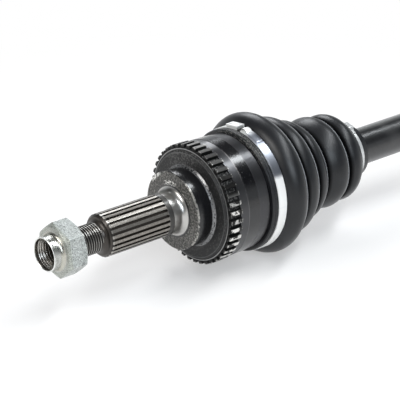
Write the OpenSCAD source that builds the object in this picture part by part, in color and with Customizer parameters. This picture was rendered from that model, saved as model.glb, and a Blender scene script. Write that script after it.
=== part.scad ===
// Drive shaft with a ball joint for the wheel and a plunging joint for the gearbox.
// Sizes are in millimetres. X runs along the shaft toward the gearbox end.
// The origin is the centre of the face that seats against the wheel hub.

/* [Bar] */
// Distance between the centres of the two joints
joint_spacing = 400; // [390:1:460]
// Radius of the bar between the boots
bar_radius = 14.25; // [14:0.05:14.5]
// Radius of the bar under the joint pieces
seat_radius = 12; // [11.8:0.05:12.1]

/* [Wheel end] */
// Number of grooves in the spline that drives the hub
spline_teeth = 24; // [22:1:26]
// Radius over the crests of that spline
spline_radius = 15.9; // [15.7:0.05:16]
// Width of each spline groove
spline_groove_width = 2; // [1.8:0.05:2.1]
// Depth of each spline groove
spline_groove_depth = 1.9; // [1.5:0.05:2]
// Radius of the cylinder that stands for the thread
thread_radius = 10.35; // [10.2:0.05:10.5]
// Radius of the plain ring behind the spline
journal_radius = 16.2; // [16.1:0.05:16.3]
// Radius of the disc that seats on the hub
disc_radius = 29.6; // [29.2:0.1:30]

/* [Hub nut] */
// Distance across the flats
nut_flats = 36; // [35:0.1:36.3]
// Length of the hexagon
nut_height = 16; // [15:0.5:16.5]
// Radius of the locking collar
collar_radius = 12.6; // [12.4:0.05:12.8]
// Length of the locking collar
collar_length = 8.5; // [7:0.5:9]

/* [Bell] */
// Radius of the widest band
bell_radius = 44.5; // [44.3:0.05:44.8]
// Step down from the bell to the seat of its boot
boot_seat_step = 1.2; // [1.1:0.05:1.4]
// Number of teeth on the speed sensor ring
ring_teeth = 42; // [38:1:44]
// How far the ring's tooth tips stand out past the bell
ring_proud = 0.9; // [0.7:0.1:1.2]

/* [Ball joint] */
// Radius of each ball
ball_radius = 8.73; // [8.6:0.01:8.8]
// Radius of the circle through the ball centres
ball_pitch = 30.5; // [30.3:0.05:30.7]
// Distance of the track centres from the joint centre
track_offset = 3.2; // [3:0.1:3.4]
// Radius of the outside of the cage
cage_radius = 34; // [33.8:0.05:34.2]
// Radius of the outside of the inner race
race_radius = 27; // [26.8:0.05:27.2]

/* [Tripod joint] */
// Radius of the circle through the roller centres
tripod_pitch = 21; // [20.8:0.1:21.2]
// Radius of each trunnion on the spider
trunnion_radius = 9; // [8.8:0.05:9.1]
// Radius of each needle
needle_radius = 1.25; // [1.2:0.01:1.27]
// Number of needles in one roller
needle_count = 25; // [22:1:25]
// Radius of each roller at its crown
roller_radius = 17; // [16.8:0.05:17.1]
// Width of each roller
roller_width = 10.5; // [10:0.1:10.6]
// Travel of the housing each way along the bar
plunge = 15; // [12:0.5:16]
// Largest bend of the joint each way in degrees
tripod_bend = 15; // [12:0.5:15]
// Radius over the lobes of the housing
housing_radius = 37; // [36.5:0.1:37.5]

/* [Gearbox end] */
// Radius of the ground ring that the oil seal runs on
seal_radius = 20; // [19:0.1:20.5]
// Number of grooves in the spline of the gearbox
stub_teeth = 26; // [24:1:28]
// Radius over the crests of that spline
stub_radius = 13.4; // [13.2:0.05:13.6]

/* [Boots and clamps] */
// Thickness of the wall of a boot
boot_wall = 2; // [1.7:0.1:2.1]
// Thickness of the steel band of a clamp
band = 1; // [0.8:0.05:1.1]
// Height of the pinched ear over the seat of a clamp
ear_height = 4.4; // [3.5:0.1:5]

/* [Fits] */
// Clearance round each ball in the tracks of the bell
ball_clearance = 0.07; // [0.05:0.01:0.1]
// Clearance round each ball in the tracks of the inner race
race_clearance = 0.1; // [0.08:0.01:0.12]
// Clearance of the cage on the spheres that it turns between
cage_clearance = 0.05; // [0.03:0.01:0.08]
// Clearance of a ball in its window along the shaft
window_clearance = 0.24; // [0.23:0.01:0.3]
// Clearance of the nut on the thread
thread_clearance = 0.05; // [0.03:0.01:0.1]
// Clearance of the needles on the trunnion and in the roller
needle_clearance = 0.03; // [0.02:0.01:0.04]
// Clearance of a roller at each side of its track
track_clearance = 0.45; // [0.45:0.05:0.6]
// Clearance of soft rubber from a piece that it doesn't turn with
rubber_clearance = 0.3; // [0.25:0.05:0.4]

/* [Hidden] */
$fn = 96;
outer_centre = 48;
inner_centre = outer_centre + joint_spacing;
track_radius = norm([ball_pitch, track_offset]);

stub_end = -101;
relief_size = 3.85;
relief_start = -71.5;
groove_start = -65;
journal_start = -14.5;
journal_end = -10.8;
land_radius = 15.6;
face_fillet = 4.7;
spline_phase = 144.25;
neck_size = 7.4;
neck_centre = 9.2;
neck_radius = 27.5;
neck_from = 225.4;
neck_to = 325.5;
shoulder_x = 15.3;
ring_seat = bell_radius - 3.2;
ring_seat_start = 17;
ring_seat_end = 28;
bell_mouth = 67;
bell_boot_seat = bell_radius - boot_seat_step;
cavity_floor = 21.5;
track_from = 30;
track_to = 134;
mouth_slope = 0.97;
mouth_start = 60;
mouth_radius = 28.4;

nut_back = -90;
nut_front = nut_back - nut_height;
nut_face_radius = nut_flats / 2 - 0.7;
nut_corner_room = 4;
collar_fillet = 2.8;
collar_wall = 1.5;

ring_radius = bell_radius + ring_proud;
ring_root = ring_radius - 2.8;
ring_rim_x = 16.8;
ring_tooth_x = 17.6;
ring_tip_width = 3;
ring_root_width = 3.7;
ring_phase = 145.4;

cage_half = 13;
race_half = 12;
window_half = 11;
window_corner = 4;

bar_tip = outer_centre - 15;
clip_room = 0.1;
clip_thickness = 1.5;
clip_depth = 1.2;
clip_height = 1.6;
clip_gap = 5;
collar_on_bar = 1.1;
collar_on_bar_width = 3;
neck_end = 92;
flare_length = 9;
rubber_seat_radius = bar_radius + 1.95;
small_seat = bar_radius + 6.55;
small_seat_width = 7;
small_clamp_width = 6.5;
large_clamp_width = 7.5;
large_clamp_start = 61.5;
folds_start = 69.3;
folds_end = 163.5;
boot_end = folds_end + 14.2;
adaptor_length = 16;

tripod_arms = [90, 210, 330];
valleys = [30, 150, 270];
end_room = 1.1;
stop_width = 1.2;
stop_lip = 1.5;
track_reach = plunge + roller_radius + tripod_pitch * cos(30) * sin(tripod_bend) + end_room;
mouth_x = inner_centre - track_reach - stop_width - stop_lip;
cavity_end = inner_centre + track_reach + 0.5;
housing_end = cavity_end + 6.5;
core_radius = 22;
lobe_room = 0.55;
lobe_radius = norm([tripod_pitch + roller_width / 2, roller_radius]) + lobe_room;
relief_room = 0.4;
relief_radius = (inner_centre - mouth_x + plunge) * tan(tripod_bend)
  + seat_radius / cos(tripod_bend) + relief_room;
relief_length = (relief_radius - core_radius) / tan(tripod_bend);
valley_size = 18;
valley_floor = 31;
stop_inner = lobe_radius - 1.4;
stop_outer = lobe_radius + 1.4;
stub_tip = housing_end + 53;
stub_spline_start = housing_end + 23;
stub_groove_width = 1.6;
stub_groove_depth = 1.3;
stub_clip_x = stub_tip - 5.5;
stub_clip_width = 1.4;

hub_half = 12;
hub_radius = 17.6;
flat_distance = tripod_pitch - roller_width / 2 - 0.3;
trunnion_end = tripod_pitch + roller_width / 2 + 2.35;
retainer_start = tripod_pitch + roller_width / 2 + 0.2;
retainer_width = 1.2;
retainer_depth = 0.8;
needle_pitch = trunnion_radius + needle_clearance + needle_radius;
roller_bore = needle_pitch + needle_radius + needle_clearance;
needle_length = roller_width - 0.4;
crown_radius = 40;
roller_chamfer = 0.6;

adaptor_start = mouth_x + 3.5;
adaptor_end = adaptor_start + adaptor_length;
adaptor_radius = housing_radius + 3.5;
adaptor_lip = 1.2;
inner_seat = adaptor_radius + 2.9;
inner_boot_start = mouth_x - 79.5;
large_seat = bell_boot_seat + 2.9;
clamp_angle = 96;
ear_angle = 102;
ear_foot = 9;

// Points of a round stretch, given as [along, across].
function arc(x, r, size, from, to, steps = 8) = [
  for (i = [0:steps])
    let (turn = from + (to - from) * i / steps)
      [x + size * cos(turn), r + size * sin(turn)]
];

// One fold of a boot: the half ellipse from a to b whose top is the crest.
function fold(a, b, crest, steps = 10) =
  let (middle = (a + b) / 2, half = (b - a) / 2) [
    for (i = [0:steps])
      let (turn = 180 * i / steps)
        middle - half * cos(turn) + (crest - middle) * sin(turn)
  ];

// The same fold seen from inside the wall.
function fold_inside(a, b, crest) =
  let (along = (b - a) / norm(b - a), out = [-along[1], along[0]])
    fold(a + (along - out) * boot_wall, b - (along + out) * boot_wall, crest - out * boot_wall);

function outside(valleys, crests) = [
  for (i = [0:len(crests) - 1])
    let (f = fold(valleys[i], valleys[i + 1], crests[i]))
      for (k = [0:len(f) - 2]) f[k]
];

function inside(valleys, crests) = [
  for (i = [0:len(crests) - 1])
    each fold_inside(valleys[i], valleys[i + 1], crests[i])
];

function backward(list) = [for (i = [len(list) - 1:-1:0]) list[i]];

// Turns a shape drawn in the flat so that it stands across the shaft.
module along_x(x = 0) {
  translate([x, 0, 0]) rotate([90, 0, 90]) children();
}

// Turns an outline of [along, radius] points round the shaft.
module turned(outline) {
  along_x() rotate_extrude() polygon([for (p = outline) [p[1], p[0]]]);
}

module ring(inner, outer, from, to) {
  turned([[from, inner], [to, inner], [to, outer], [from, outer]]);
}

// A sphere about the ball joint's centre, with its poles on the shaft's axis.
module joint_sphere(radius) {
  translate([outer_centre, 0, 0]) rotate([60, 0, 0]) rotate([0, 90, 0]) sphere(radius);
}

module spline_cuts(count, radius, depth, width, from, to, phase) {
  half = width / 2;
  outline = concat(arc(to - half, 0, half, -90, 90, 6), arc(from + half, 0, half, 90, 270, 6));
  for (i = [0:count - 1])
    rotate([phase + i * 360 / count, 0, 0])
      translate([0, radius - depth, 0])
        rotate([-90, 0, 0])
          linear_extrude(depth + 2) polygon(outline);
}

// Six round tracks, each an arc about a centre on the shaft's axis.
module tracks(centre, tube) {
  for (turn = [0:60:300])
    translate([centre, 0, 0])
      rotate([turn, 0, 0])
        rotate([0, 0, track_from])
          rotate_extrude(angle = track_to - track_from)
            translate([track_radius, 0]) circle(tube);
}

module outer_race() {
  stub = [
    [stub_end + 4.2, 0], [stub_end, 2.6], [stub_end, thread_radius - 1.05],
    [stub_end + 1.1, thread_radius]
  ];
  relief = arc(relief_start, thread_radius + relief_size, relief_size, -90, 0);
  spline = [
    [-65.8, spline_radius], [journal_start - 0.4, spline_radius],
    [journal_start, journal_radius], [journal_end, journal_radius],
    [journal_end, land_radius]
  ];
  face = arc(-face_fillet, land_radius + face_fillet, face_fillet, -90, 0);
  rim = [[0, disc_radius - 0.6], [0.6, disc_radius], [4, disc_radius]];
  neck = arc(neck_centre, neck_radius + neck_size, neck_size, neck_from, neck_to);
  bell = [
    [shoulder_x, ring_seat - 1.5], [ring_seat_start, ring_seat], [ring_seat_end, ring_seat],
    [ring_seat_end, bell_radius - 0.8], [35, bell_radius - 0.3], [35.2, bell_radius],
    [45.2, bell_radius], [45.4, bell_radius - 0.3], [55, bell_radius - 0.6],
    [55.5, bell_boot_seat], [bell_mouth, bell_boot_seat], [bell_mouth, 0]
  ];
  color("dimgray")
    difference() {
      turned(concat(stub, relief, spline, face, rim, neck, bell));
      intersection() {
        joint_sphere(cage_radius + cage_clearance);
        translate([cavity_floor, -60, -60]) cube(120);
      }
      turned([
        [mouth_start, 0], [mouth_start, mouth_radius],
        [mouth_start + 8, mouth_radius + 8 * mouth_slope], [mouth_start + 8, 0]
      ]);
      tracks(outer_centre + track_offset, ball_radius + ball_clearance);
      spline_cuts(spline_teeth, spline_radius, spline_groove_depth, spline_groove_width,
        groove_start, journal_start - 0.3, spline_phase);
    }
}

module abs_ring() {
  step = 360 / ring_teeth;
  tip = asin(ring_tip_width / 2 / ring_radius);
  root = asin(ring_root_width / 2 / ring_root);
  teeth = [
    for (i = [0:ring_teeth - 1])
      for (corner = [[-root, ring_root], [-tip, ring_radius], [tip, ring_radius], [root, ring_root]])
        let (turn = ring_phase + i * step + corner[0])
          [corner[1] * cos(turn), corner[1] * sin(turn)]
  ];
  color("gray")
    union() {
      ring(ring_seat, ring_root - 0.1, ring_rim_x, ring_tooth_x);
      along_x(ring_tooth_x)
        linear_extrude(ring_seat_end - ring_tooth_x)
          difference() {
            polygon(teeth);
            circle(ring_seat);
          }
    }
}

module hub_nut() {
  color("silver")
    difference() {
      union() {
        intersection() {
          along_x(nut_front)
            rotate(19) linear_extrude(nut_height) circle(nut_flats / 2 / cos(30), $fn = 6);
          turned([
            [nut_front, 0], [nut_front, nut_face_radius],
            [nut_front + nut_corner_room * tan(30), nut_face_radius + nut_corner_room],
            [nut_back - nut_corner_room * tan(30), nut_face_radius + nut_corner_room],
            [nut_back, nut_face_radius], [nut_back, 0]
          ]);
        }
        turned(concat([
            [nut_front - collar_length, collar_radius - collar_wall],
            [nut_front + 2, collar_radius - collar_wall],
            [nut_front + 2, collar_radius + collar_fillet]
          ],
          arc(nut_front - collar_fillet, collar_radius + collar_fillet, collar_fillet, 0, -90),
          [[nut_front - collar_length, collar_radius]]));
      }
      ring(0, thread_radius + thread_clearance, nut_front - 1, nut_back + 1);
      ring(0, collar_radius - collar_wall, nut_front - collar_length - 1, nut_front + 0.6);
    }
}

module window() {
  x = ball_radius + window_clearance - window_corner;
  y = window_half - window_corner;
  linear_extrude(30)
    polygon(concat(arc(x, y, window_corner, 0, 90, 5), arc(-x, y, window_corner, 90, 180, 5),
      arc(-x, -y, window_corner, 180, 270, 5), arc(x, -y, window_corner, 270, 360, 5)));
}

module outer_cage() {
  color("slategray")
    difference() {
      intersection() {
        joint_sphere(cage_radius);
        translate([outer_centre - cage_half, -60, -60]) cube([2 * cage_half, 120, 120]);
      }
      joint_sphere(race_radius + cage_clearance);
      for (i = [0:5])
        rotate([i * 60, 0, 0]) translate([outer_centre, 12, 0]) rotate([-90, 0, 0]) window();
    }
}

module ball(number) {
  turn = (number - 1) * 60;
  color("lightsteelblue")
    translate([outer_centre, ball_pitch * cos(turn), ball_pitch * sin(turn)])
      sphere(ball_radius);
}

module outer_inner_race() {
  color("darkgray")
    difference() {
      intersection() {
        joint_sphere(race_radius);
        ring(0, race_radius + 1, outer_centre - race_half, outer_centre + race_half);
      }
      ring(0, seat_radius, outer_centre - race_half - 1, outer_centre + race_half + 1);
      tracks(outer_centre - track_offset, ball_radius + race_clearance);
    }
}

// A snap ring with its gap at the given angle.
module snap_ring(inner, outer, from, to, at) {
  difference() {
    ring(inner, outer, from, to);
    rotate([at, 0, 0])
      translate([from - 1, 0, -clip_gap / 2]) cube([to - from + 2, outer + 5, clip_gap]);
  }
}

module outer_circlip() {
  edge = outer_centre - race_half - clip_room;
  color("silver")
    snap_ring(seat_radius - clip_depth, seat_radius + clip_height, edge - clip_thickness, edge, 60);
}

module spider_circlip() {
  edge = inner_centre + hub_half + clip_room;
  color("silver")
    snap_ring(seat_radius - clip_depth, seat_radius + clip_height, edge, edge + clip_thickness, 90);
}

module shaft_bar() {
  outer_clip = outer_centre - race_half - clip_room;
  inner_clip = inner_centre + hub_half + clip_room;
  groove = seat_radius - clip_depth;
  lower = seat_radius + collar_on_bar;
  tail = inner_clip + clip_thickness + 2;
  neck_start = mouth_x - plunge - 6.5;
  color("dimgray")
    turned([
      [bar_tip, 0], [bar_tip, seat_radius - 1], [bar_tip + 1, seat_radius - 0.2],
      [outer_clip - clip_thickness, seat_radius - 0.2], [outer_clip - clip_thickness, groove],
      [outer_clip, groove], [outer_clip, seat_radius],
      [outer_centre + race_half, seat_radius], [outer_centre + race_half, lower],
      [outer_centre + race_half + collar_on_bar_width, lower],
      [outer_centre + race_half + collar_on_bar_width + 1.1, seat_radius],
      [neck_end, seat_radius], [neck_end + flare_length, bar_radius],
      [folds_end - 1, bar_radius], [folds_end + 1, rubber_seat_radius],
      [boot_end - 3.7, rubber_seat_radius], [boot_end - 1.7, bar_radius],
      [inner_boot_start + 1.7, bar_radius], [inner_boot_start + 3.7, rubber_seat_radius],
      [inner_boot_start + 13, rubber_seat_radius], [inner_boot_start + 15, bar_radius],
      [neck_start - flare_length, bar_radius], [neck_start, seat_radius],
      [inner_centre - hub_half - collar_on_bar_width - 1.1, seat_radius],
      [inner_centre - hub_half - collar_on_bar_width, lower],
      [inner_centre - hub_half, lower], [inner_centre - hub_half, seat_radius],
      [inner_clip, seat_radius], [inner_clip, groove],
      [inner_clip + clip_thickness, groove], [inner_clip + clip_thickness, seat_radius - 0.2],
      [tail - 1, seat_radius - 0.2], [tail, seat_radius - 1], [tail, 0]
    ]);
}

// A point of the wheel-side boot, by its place along the folds and its share of the seats' step.
function boot_point(along, share) = [
  folds_start + along * (folds_end - folds_start),
  small_seat + share * (large_seat - small_seat)
];

module outer_boot() {
  lip_start = large_clamp_start - 5.2;
  folds = [
    [folds_start, large_seat], boot_point(0.192, 0.815), boot_point(0.385, 0.58),
    boot_point(0.555, 0.245), boot_point(0.788, 0.185), [folds_end, small_seat + 1.2]
  ];
  crests = [
    boot_point(0.134, 1.29), boot_point(0.34, 0.965), boot_point(0.51, 0.685),
    boot_point(0.745, 0.58), boot_point(0.917, 0.512)
  ];
  lip = [
    [lip_start, bell_boot_seat], [lip_start, large_seat - 0.4],
    [lip_start + 0.5, large_seat + 0.2], [lip_start + 1.5, large_seat + 0.5],
    [lip_start + 2.3, large_seat], [lip_start + 3.5, large_seat + 0.5],
    [lip_start + 4.3, large_seat], [lip_start + 5, large_seat + 0.3],
    [large_clamp_start, large_seat]
  ];
  end = [
    folds[5], [folds_end + 1.7, small_seat], [folds_end + 1.7 + small_seat_width, small_seat],
    [folds_end + 2.2 + small_seat_width, small_seat - 0.2], [boot_end - 0.5, small_seat - 0.2],
    [boot_end, small_seat - 0.7], [boot_end, bar_radius + rubber_clearance],
    [boot_end - 1.5, bar_radius + rubber_clearance],
    [boot_end - 3.5, rubber_seat_radius + rubber_clearance],
    [folds_end + 0.5, rubber_seat_radius + rubber_clearance]
  ];
  color("dimgray")
    turned(concat(lip, outside(folds, crests), end, backward(inside(folds, crests)),
      [[bell_mouth + 0.6, bell_boot_seat]]));
}

module inner_boot() {
  s = inner_boot_start;
  m = mouth_x;
  folds = [
    [s + 15, small_seat + 0.2], [m - 50.5, small_seat + 3], [m - 36.5, small_seat + 6.5],
    [m - 22.5, small_seat + 10], [m - 8.5, small_seat + 14], [adaptor_start + 1, inner_seat]
  ];
  rise = [[2, 7.5], [2, 7.5], [2, 7.5], [2, 7], [1, 3]];
  crests = [for (i = [0:4]) (folds[i] + folds[i + 1]) / 2 + rise[i]];
  start = [
    [s + 4, rubber_seat_radius + rubber_clearance],
    [s + 1.5, bar_radius + rubber_clearance], [s, bar_radius + rubber_clearance],
    [s, small_seat - 0.7], [s + 0.5, small_seat - 0.2], [s + 5, small_seat - 0.2],
    [s + 5.5, small_seat], [s + 5.5 + small_seat_width, small_seat],
    [s + 13, small_seat + 0.4]
  ];
  end = [
    [adaptor_start + 1, inner_seat], [adaptor_end - 3.5, inner_seat],
    [adaptor_end - 3, inner_seat + 0.6], [adaptor_end - 0.5, inner_seat + 0.6],
    [adaptor_end, inner_seat], [adaptor_end, adaptor_radius], [adaptor_start, adaptor_radius]
  ];
  color("dimgray")
    turned(concat(start, outside(folds, crests), end, backward(inside(folds, crests)),
      [[s + 14.5, rubber_seat_radius + rubber_clearance + 0.3]]));
}

// A band round the seat of a boot, pinched tight by a hollow ear.
module ear_band(inner, from, to, at) {
  half = ear_foot / 2;
  top = inner + ear_height;
  along_x(from)
    linear_extrude(to - from)
      difference() {
        union() {
          circle(inner + band);
          rotate(at) polygon([[0, -half], [top, band - half], [top, half - band], [0, half]]);
        }
        circle(inner);
        rotate(at) polygon([
          [0, band - half], [top - band, 2 * band - half],
          [top - band, half - 2 * band], [0, half - band]
        ]);
      }
}

module outer_boot_clamp_large() {
  from = large_clamp_start;
  buckle = [5.9, 1.9, 5.2];
  color("silver")
    union() {
      ring(large_seat, large_seat + band, from, from + large_clamp_width);
      rotate([clamp_angle - 16, 0, 0])
        along_x(from + 0.5)
          rotate_extrude(angle = 26)
            translate([large_seat + band - 0.2, 0]) square([band * 0.6 + 0.2, large_clamp_width - 1]);
      rotate([clamp_angle, 0, 0])
        translate([from + (large_clamp_width - buckle[0]) / 2, large_seat + band * 1.5, -buckle[2] / 2])
          cube(buckle);
    }
}

module outer_boot_clamp_small() {
  x = folds_end + 2;
  color("silver")
    ear_band(small_seat + rubber_clearance, x, x + small_clamp_width, ear_angle);
}

module inner_boot_clamp_small() {
  x = inner_boot_start + 5.75;
  color("silver")
    ear_band(small_seat + rubber_clearance, x, x + small_clamp_width, ear_angle);
}

module inner_boot_clamp_large() {
  color("silver")
    ear_band(inner_seat + rubber_clearance, adaptor_start + 3, adaptor_end - 4.5, ear_angle);
}

module housing_outline() {
  difference() {
    circle(housing_radius);
    for (turn = valleys)
      rotate(turn) translate([valley_floor + valley_size, 0]) circle(valley_size);
  }
}

module inner_boot_adaptor() {
  color("black")
    difference() {
      union() {
        ring(0, adaptor_radius, adaptor_start, adaptor_end);
        ring(0, adaptor_radius + adaptor_lip, adaptor_end, adaptor_end + 2);
      }
      along_x(adaptor_start - 1)
        linear_extrude(adaptor_end - adaptor_start + 4) housing_outline();
    }
}

module tripod_housing() {
  half = roller_radius + track_clearance;
  e = housing_end;
  wide = housing_radius + 1;
  stub = [
    [e - 4, 0], [e - 4, 26], [e, 26], [e + 4, 22], [e + 4, seal_radius],
    [e + 16, seal_radius], [e + 17, seal_radius - 1], [e + 17, stub_radius + 3.2],
    [e + 20, stub_radius + 2.6], [e + 22, stub_radius], [stub_clip_x, stub_radius],
    [stub_clip_x, stub_radius - stub_groove_depth],
    [stub_clip_x + stub_clip_width, stub_radius - stub_groove_depth],
    [stub_clip_x + stub_clip_width, stub_radius],
    [stub_tip - 1.5, stub_radius], [stub_tip, stub_radius - 1.5],
    [stub_tip, 2.6], [stub_tip - 4.2, 0]
  ];
  color("dimgray")
    difference() {
      union() {
        intersection() {
          along_x(mouth_x) linear_extrude(e - mouth_x) housing_outline();
          turned([
            [mouth_x, 0], [mouth_x, wide - 2], [mouth_x + 2, wide], [e - 7, wide],
            [e, wide - 8], [e, 0]
          ]);
        }
        turned(stub);
      }
      along_x(mouth_x - 1)
        linear_extrude(cavity_end - mouth_x + 1)
          union() {
            circle(core_radius);
            intersection() {
              circle(lobe_radius);
              for (turn = tripod_arms) rotate(turn) translate([0, -half]) square([45, 2 * half]);
            }
          }
      turned([
        [mouth_x - 1, 0], [mouth_x - 1, relief_radius + tan(tripod_bend)],
        [mouth_x + relief_length, core_radius], [mouth_x + relief_length, 0]
      ]);
      ring(0, stop_outer, mouth_x + stop_lip, mouth_x + stop_lip + stop_width);
      spline_cuts(stub_teeth, stub_radius, stub_groove_depth, stub_groove_width,
        stub_spline_start, stub_tip + 3, 0);
    }
}

module housing_stop_ring() {
  color("silver")
    snap_ring(stop_inner, stop_outer, mouth_x + stop_lip, mouth_x + stop_lip + stop_width, 30);
}

module stub_circlip() {
  color("silver")
    snap_ring(stub_radius - stub_groove_depth, stub_radius + 0.5,
      stub_clip_x, stub_clip_x + stub_clip_width, 90);
}

// Places a shape whose Z axis runs out along one arm of the spider.
module on_arm(number) {
  translate([inner_centre, 0, 0]) rotate([tripod_arms[number - 1] - 90, 0, 0]) children();
}

module tripod_spider() {
  neck = trunnion_radius - retainer_depth;
  trunnion = [
    [0, 0], [trunnion_radius, 0], [trunnion_radius, retainer_start], [neck, retainer_start],
    [neck, retainer_start + retainer_width], [trunnion_radius, retainer_start + retainer_width],
    [trunnion_radius, trunnion_end - 0.6], [trunnion_radius - 0.6, trunnion_end],
    [0, trunnion_end]
  ];
  color("slategray")
    difference() {
      union() {
        intersection() {
          ring(0, hub_radius, inner_centre - hub_half, inner_centre + hub_half);
          along_x(inner_centre - hub_half - 1)
            rotate(30) linear_extrude(2 * hub_half + 2) circle(2 * flat_distance, $fn = 3);
        }
        for (number = [1, 2, 3]) on_arm(number) rotate_extrude() polygon(trunnion);
      }
      ring(0, seat_radius, inner_centre - hub_half - 1, inner_centre + hub_half + 1);
    }
}

module roller(number) {
  half = roller_width / 2;
  spread = asin((half - roller_chamfer) / crown_radius);
  crown = arc(roller_radius - crown_radius, 0, crown_radius, -spread, spread, 6);
  color("lightgray")
    on_arm(number)
      translate([0, 0, tripod_pitch])
        rotate_extrude()
          polygon(concat(
            [[roller_bore, -half + 0.4], [roller_bore + 0.4, -half],
              [roller_radius - 1.2, -half]],
            crown,
            [[roller_radius - 1.2, half], [roller_bore + 0.4, half],
              [roller_bore, half - 0.4]]));
}

module roller_needles(number) {
  color("lightsteelblue")
    on_arm(number)
      for (i = [0:needle_count - 1])
        rotate(i * 360 / needle_count)
          translate([needle_pitch, 0, tripod_pitch - needle_length / 2])
            cylinder(r = needle_radius, h = needle_length);
}

module roller_retainer(number) {
  color("silver")
    on_arm(number)
      translate([0, 0, retainer_start])
        difference() {
          cylinder(r = roller_bore + 1, h = retainer_width);
          translate([0, 0, -1])
            cylinder(r = trunnion_radius - retainer_depth, h = retainer_width + 2);
          translate([0, -1.5, -1]) cube([roller_bore + 3, 3, retainer_width + 2]);
        }
}

outer_race();
abs_ring();
hub_nut();
outer_cage();
ball(1);  // ball_1
ball(2);  // ball_2
ball(3);  // ball_3
ball(4);  // ball_4
ball(5);  // ball_5
ball(6);  // ball_6
outer_inner_race();
outer_circlip();
outer_boot();
outer_boot_clamp_large();
outer_boot_clamp_small();
shaft_bar();
inner_boot();
inner_boot_adaptor();
inner_boot_clamp_large();
inner_boot_clamp_small();
tripod_housing();
housing_stop_ring();
stub_circlip();
tripod_spider();
spider_circlip();
roller(1);  // roller_1
roller(2);  // roller_2
roller(3);  // roller_3
roller_needles(1);  // roller_needles_1
roller_needles(2);  // roller_needles_2
roller_needles(3);  // roller_needles_3
roller_retainer(1);  // roller_retainer_1
roller_retainer(2);  // roller_retainer_2
roller_retainer(3);  // roller_retainer_3
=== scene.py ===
# Looks for a drive shaft: a wheel-side ball joint with its splined stub and nut, the bar,
# two folded boots and a gearbox-side tripod joint. Everything is in metres.
import math

import bpy
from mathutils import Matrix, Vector


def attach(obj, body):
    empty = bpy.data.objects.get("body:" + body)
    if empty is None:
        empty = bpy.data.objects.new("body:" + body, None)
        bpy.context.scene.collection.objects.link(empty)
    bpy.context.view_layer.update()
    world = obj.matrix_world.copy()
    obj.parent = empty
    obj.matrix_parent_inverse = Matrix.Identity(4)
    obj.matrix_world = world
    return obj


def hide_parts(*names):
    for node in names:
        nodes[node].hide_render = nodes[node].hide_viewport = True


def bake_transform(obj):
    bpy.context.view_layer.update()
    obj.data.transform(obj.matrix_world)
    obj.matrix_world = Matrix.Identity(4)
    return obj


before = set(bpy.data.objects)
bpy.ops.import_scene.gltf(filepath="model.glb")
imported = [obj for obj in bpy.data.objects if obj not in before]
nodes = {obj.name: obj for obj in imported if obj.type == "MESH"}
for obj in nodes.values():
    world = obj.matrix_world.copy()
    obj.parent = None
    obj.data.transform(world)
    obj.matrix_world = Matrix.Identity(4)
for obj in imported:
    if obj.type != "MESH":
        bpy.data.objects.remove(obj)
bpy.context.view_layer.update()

# The camera stands about a metre and a half in front of the wheel end, a little to its left
# and looking down at it, so the spline, nut and bell fill the frame and the bar runs out of it.
bpy.ops.object.camera_add(
    location=(-0.85352, -1.04333, 0.60776),
    rotation=(math.radians(66.03), 0, math.radians(-40.13)),
)
camera = bpy.context.object
camera.name = "photo_camera"
camera.data.sensor_width = 36
camera.data.lens = 184.42
camera.data.clip_end = 50
bpy.context.scene.camera = camera
bpy.context.scene.view_settings.view_transform = "Standard"

# A pale studio: the paper floor and the wall behind the shaft look white to the camera and in
# polished metal, the side where the camera stands is dim, and the lamps do the lighting.
world = bpy.data.worlds.new("studio")
bpy.context.scene.world = world
world.use_nodes = True
wn = world.node_tree.nodes
wl = world.node_tree.links
wn.clear()
world_out = wn.new("ShaderNodeOutputWorld")
seen = wn.new("ShaderNodeBackground")
seen.inputs["Color"].default_value = (1, 1, 1, 1)
seen.inputs["Strength"].default_value = 1.0
room = wn.new("ShaderNodeBackground")
room.inputs["Color"].default_value = (0.88, 0.94, 1.0, 1)
room.inputs["Strength"].default_value = 0.13


def room_math(kind, a, b):
    """A sum or product of two values, linked or plain."""
    node = wn.new("ShaderNodeMath")
    node.operation = kind
    for socket, value in zip(node.inputs, (a, b)):
        if isinstance(value, bpy.types.NodeSocket):
            wl.new(value, socket)
        else:
            socket.default_value = value
    return node.outputs["Value"]


def room_step(value, low, high, to_low, to_high):
    """A soft step from one brightness to another."""
    node = wn.new("ShaderNodeMapRange")
    node.interpolation_type = "SMOOTHSTEP"
    for name, number in (("From Min", low), ("From Max", high),
                         ("To Min", to_low), ("To Max", to_high)):
        node.inputs[name].default_value = number
    wl.new(value, node.inputs["Value"])
    return node.outputs["Result"]


toward = wn.new("ShaderNodeTexCoord")
split_room = wn.new("ShaderNodeSeparateXYZ")
wl.new(toward.outputs["Generated"], split_room.inputs["Vector"])
behind = wn.new("ShaderNodeVectorMath")
behind.operation = "DOT_PRODUCT"
behind.inputs[1].default_value = (0.84, 0.54, 0)
wl.new(toward.outputs["Generated"], behind.inputs[0])
low_wall = room_math("MULTIPLY", room_step(split_room.outputs["Z"], 0.20, 0.46, 0.62, 0.0),
                     room_step(behind.outputs["Value"], -0.5, 0.15, 0.05, 1.0))
ceiling = room_step(split_room.outputs["Z"], 0.60, 0.90, 0.03, 0.22)
wall_light = room_math("ADD", low_wall, ceiling)
mirrored = wn.new("ShaderNodeBackground")
mirrored.inputs["Color"].default_value = (0.93, 0.97, 1.0, 1)
path = wn.new("ShaderNodeLightPath")
pick_glossy = wn.new("ShaderNodeMixShader")
pick = wn.new("ShaderNodeMixShader")
direct = room_math("MAXIMUM", path.outputs["Is Camera Ray"], path.outputs["Is Transmission Ray"])
wl.new(wall_light, mirrored.inputs["Strength"])
wl.new(path.outputs["Is Glossy Ray"], pick_glossy.inputs["Fac"])
wl.new(room.outputs["Background"], pick_glossy.inputs[1])
wl.new(mirrored.outputs["Background"], pick_glossy.inputs[2])
wl.new(direct, pick.inputs["Fac"])
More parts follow.
